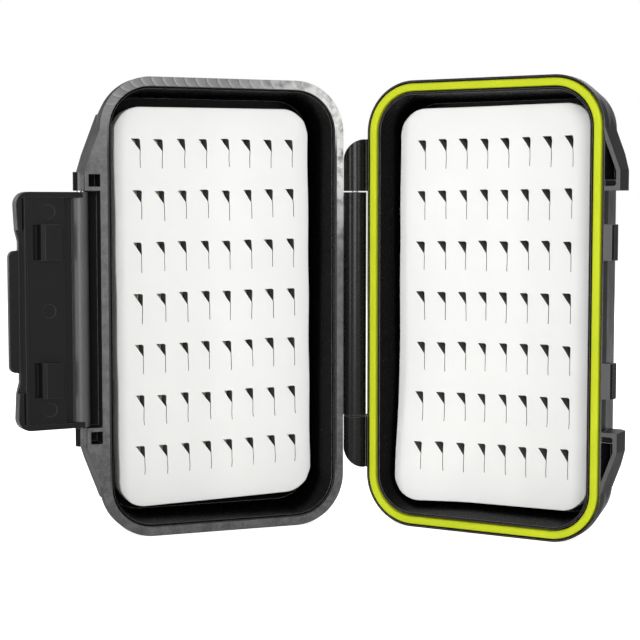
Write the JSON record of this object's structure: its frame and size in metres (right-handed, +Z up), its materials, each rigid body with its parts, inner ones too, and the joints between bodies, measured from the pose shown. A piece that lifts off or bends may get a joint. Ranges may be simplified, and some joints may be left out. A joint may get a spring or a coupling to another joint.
{
  "type": "fly box",
  "caption": "Waterproof two-tray fly box with rounded corners, a slit foam sheet in each half, a rim gasket, a side hinge and a wide latch flap.",
  "frame": {"origin": "centre of the flat end band of the base's lower end, which the open box stands on", "axes": "+Z up along the hinge axis, +Y out through the back of the base, +X from the hinge towards the base's latch edge"},
  "size_m": [0.1685, 0.1149, 0.15],
  "materials": {
    "shell_plastic": "moulded black ABS, satin outside and glossy inside the trays",
    "gasket_silicone": "matte lime silicone rubber",
    "foam": "closed-cell EVA foam, off-white and matte",
    "glue_film": "double-sided glue film",
    "pin_steel": "drawn steel wire"
  },
  "bodies": {
    "base": {"base_shell": "shell_plastic", "gasket": "gasket_silicone", "base_foam": "foam", "base_glue_film": "glue_film", "hinge_pin": "pin_steel"},
    "lid": {"lid_shell": "shell_plastic", "lid_foam": "foam", "lid_glue_film": "glue_film", "latch_pin": "pin_steel"},
    "latch": {"latch_flap": "shell_plastic"}
  },
  "joints": [
    {"name": "lid_hinge", "type": "hinge", "parent": "base", "child": "lid", "pos_m": [-0.04615, -0.00295, 0.075], "axis": [0, 0, -1], "range_deg": [-129.6, 50.4]},
    {"name": "latch_hinge", "type": "hinge", "parent": "lid", "child": "latch", "pos_m": [-0.10842, -0.07383, 0.075], "axis": [0, 0, -1], "range_deg": [-82, 50]}
  ]
}
